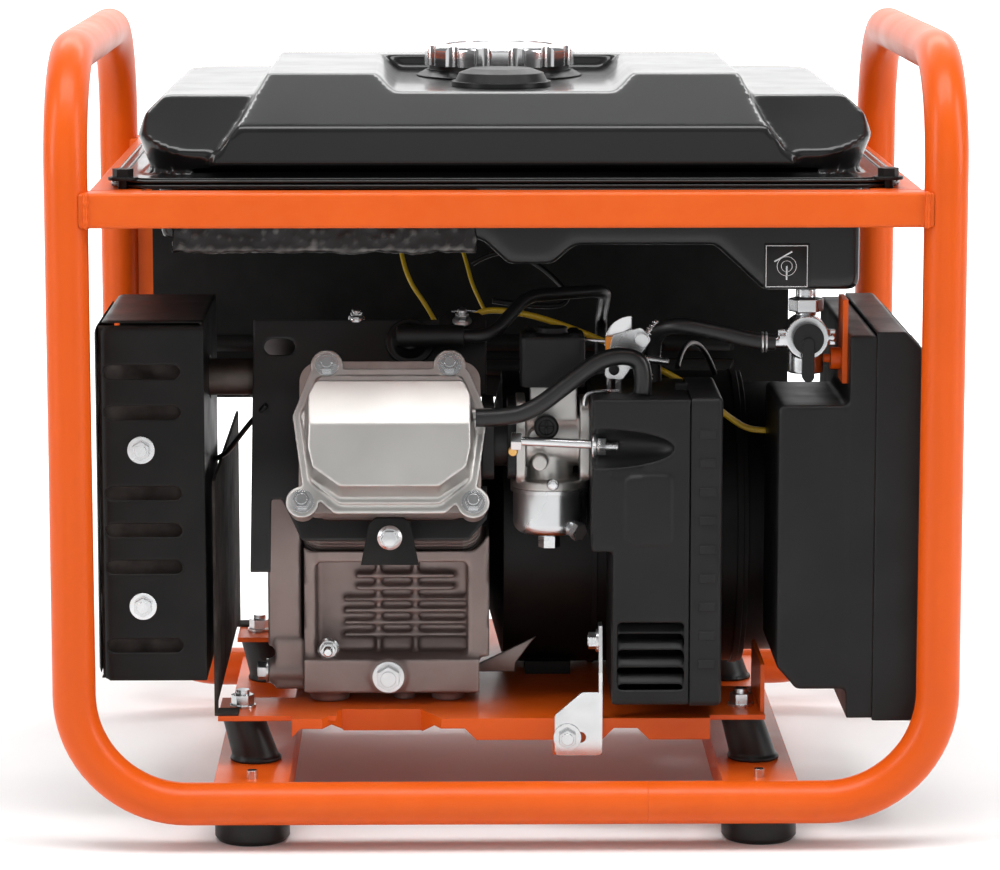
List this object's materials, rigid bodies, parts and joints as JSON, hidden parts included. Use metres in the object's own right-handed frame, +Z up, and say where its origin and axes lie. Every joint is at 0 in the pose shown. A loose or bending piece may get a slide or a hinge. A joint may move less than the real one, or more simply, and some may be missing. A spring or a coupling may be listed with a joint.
{
  "type": "portable generator",
  "caption": "Open-frame portable generator: engine with carburettor and air cleaner, muffler, fuel tank and control box in a bent tube frame.",
  "frame": {"origin": "centre of the overall box, on the ground under the rubber feet", "axes": "+X to the control panel and recoil starter, +Y away from the valve cover, +Z up"},
  "size_m": [0.525, 0.401, 0.472],
  "materials": {
    "orange_paint": "glossy powder coat",
    "tank_paint": "satin black paint",
    "black_paint": "matte black heat paint",
    "zinc": "zinc plated",
    "steel": "machined steel",
    "cast_alloy": "as cast, brown-grey",
    "bright_alloy": "bead blasted",
    "exhaust_steel": "heat tinted steel",
    "shield_steel": "bright rolled sheet",
    "copper": "enamelled winding",
    "rubber": "moulded",
    "hose_rubber": "extruded, satin",
    "black_plastic": "fine texture",
    "grey_plastic": "fine texture",
    "yellow_wire": "insulation",
    "chrome": "polished",
    "foil": "quilted heat barrier",
    "foam": "open cell",
    "red_plastic": "moulded"
  },
  "bodies": {
    "frame": {"frame_loop_left": "orange_paint", "frame_loop_right": "orange_paint", "crossbars": "orange_paint", "tank_rails": "orange_paint", "base_channels": "orange_paint", "engine_base_plate": "orange_paint", "rear_baffle": "black_paint", "rubber_feet": "rubber", "engine_isolators": "rubber", "mount_studs": "zinc", "intake_bracket": "zinc", "crankcase": "cast_alloy", "crankcase_cover": "cast_alloy", "cylinder_head": "cast_alloy", "head_shroud": "black_paint", "valve_cover": "bright_alloy", "flange_bolts": "zinc", "spark_plug_boot": "rubber", "ignition_lead": "hose_rubber", "piston": "bright_alloy", "fan_housing": "black_paint", "stator": "copper", "recoil_housing": "black_paint", "intake_manifold": "black_plastic", "carburettor_body": "bright_alloy", "float_bowl": "zinc", "throttle_motor": "black_plastic", "air_cleaner_case": "black_plastic", "air_filter_element": "foam", "breather_hose": "hose_rubber", "fuel_hose": "hose_rubber", "fuel_valve_body": "zinc", "tank_upper": "tank_paint", "tank_lower": "tank_paint", "fuel_gauge": "black_plastic", "tank_bolts": "black_paint", "heat_barrier": "foil", "muffler_guard": "black_paint", "muffler_body": "exhaust_steel", "exhaust_pipe": "exhaust_steel", "heat_shield": "shield_steel", "wiring": "yellow_wire", "panel_box_rear": "black_plastic", "panel_box_front": "black_plastic", "outlets": "grey_plastic", "inverter_module": "cast_alloy"},
    "crank": {"crankshaft": "steel", "flywheel_rotor": "steel"},
    "pulley": {"recoil_pulley": "black_plastic"},
    "pull_handle": {"recoil_handle": "black_plastic"},
    "cap_collar": {"fuel_cap_gasket": "rubber"},
    "cap": {"fuel_cap": "chrome"},
    "valve_lever": {"fuel_valve_lever": "black_plastic"},
    "choke": {"choke_lever": "zinc"},
    "air_lid": {"air_cleaner_cover": "black_plastic"},
    "flap_left": {"outlet_cover_left": "grey_plastic"},
    "flap_right": {"outlet_cover_right": "grey_plastic"},
    "switch": {"engine_switch": "red_plastic"},
    "breaker": {"breaker_button": "red_plastic"},
    "filler_cap": {"oil_filler_cap": "grey_plastic"}
  },
  "joints": [
    {"name": "crank_spin", "type": "hinge", "parent": "frame", "child": "crank", "pos_m": [0, 0.02, 0.16], "axis": [1, 0, 0], "continuous": true},
    {"name": "rope_pull", "type": "slide", "parent": "frame", "child": "pull_handle", "axis": [1, 0, 0], "range_m": [0, 0.5], "stiffness_N_per_m": 30, "springref_m": -0.1},
    {"name": "pulley_spin", "type": "hinge", "parent": "frame", "child": "pulley", "pos_m": [0, 0.02, 0.16], "axis": [1, 0, 0], "range_deg": [-600, 0]},
    {"name": "cap_lift", "type": "slide", "parent": "frame", "child": "cap_collar", "axis": [0, 0, 1], "range_m": [0, 0.06]},
    {"name": "cap_turn", "type": "hinge", "parent": "cap_collar", "child": "cap", "pos_m": [-0.0015, 0.02, 0.443], "axis": [0, 0, 1], "range_deg": [0, 90]},
    {"name": "fuel_valve_turn", "type": "hinge", "parent": "frame", "child": "valve_lever", "pos_m": [0.176, -0.147, 0.294], "axis": [0, 1, 0], "range_deg": [0, 90]},
    {"name": "choke_turn", "type": "hinge", "parent": "frame", "child": "choke", "pos_m": [0.064, -0.125, 0.273], "axis": [0, 1, 0], "range_deg": [-20, 30]},
    {"name": "air_lid_pull", "type": "slide", "parent": "frame", "child": "air_lid", "axis": [1, 0, 0], "range_m": [0, 0.025]},
    {"name": "flap_left_swing", "type": "hinge", "parent": "frame", "child": "flap_left", "pos_m": [0.2491, -0.1, 0.277], "axis": [0, -1, 0], "range_deg": [0, 95], "stiffness_Nm_per_rad": 0.02, "springref_deg": -17.19},
    {"name": "flap_right_swing", "type": "hinge", "parent": "frame", "child": "flap_right", "pos_m": [0.2491, -0.04, 0.277], "axis": [0, -1, 0], "range_deg": [0, 95], "stiffness_Nm_per_rad": 0.02, "springref_deg": -17.19},
    {"name": "switch_rock", "type": "hinge", "parent": "frame", "child": "switch", "pos_m": [0.2415, -0.12, 0.18], "axis": [0, 1, 0], "range_deg": [0, 12]},
    {"name": "breaker_push", "type": "slide", "parent": "frame", "child": "breaker", "axis": [-1, 0, 0], "range_m": [0, 0.003], "stiffness_N_per_m": 400},
    {"name": "filler_cap_turn", "type": "hinge", "parent": "frame", "child": "filler_cap", "pos_m": [-0.06, 0.106, 0.124], "axis": [0, 0.8, 0.6], "range_deg": [0, 90]}
  ],
  "couplings": [
    {"joint": "pulley_spin", "follows": "rope_pull", "rad_per_m": -20.833}
  ]
}
